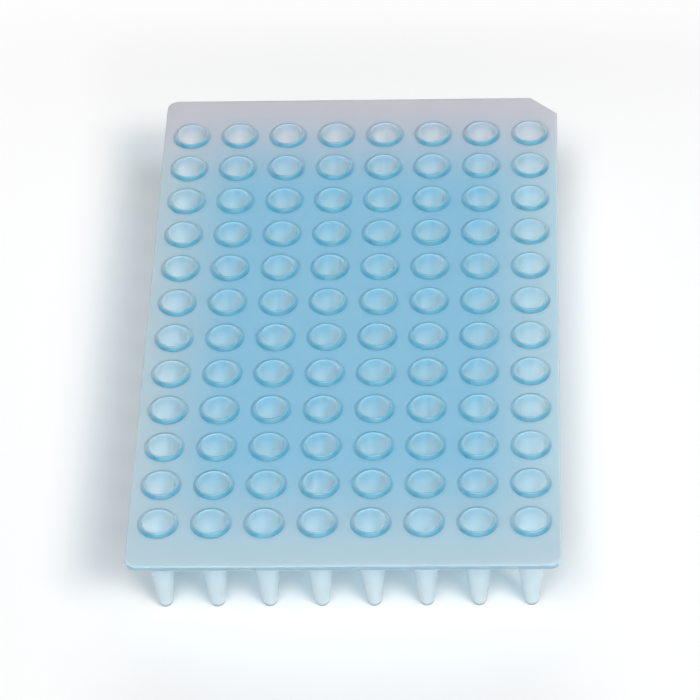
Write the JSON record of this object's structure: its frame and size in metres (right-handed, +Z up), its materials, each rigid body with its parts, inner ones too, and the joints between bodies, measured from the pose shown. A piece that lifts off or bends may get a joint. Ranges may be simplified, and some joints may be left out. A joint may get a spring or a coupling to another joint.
{
  "type": "well plate",
  "caption": "Thin-walled plate of small conical tubes hanging from a flat rectangular deck with one cut corner, for holding many small liquid samples in a grid.",
  "frame": {"origin": "on the plane of the tube tips, under the middle of the well grid", "axes": "+Z up, out of the well mouths; +Y along the twelve numbered columns, towards the end with the cut corner; +X along the eight lettered rows, towards the side with the cut corner"},
  "size_m": [0.0732, 0.1192, 0.0207],
  "materials": {
    "plate": "satin"
  },
  "bodies": {
    "root": {"well_plate": "plate"}
  },
  "joints": []
}
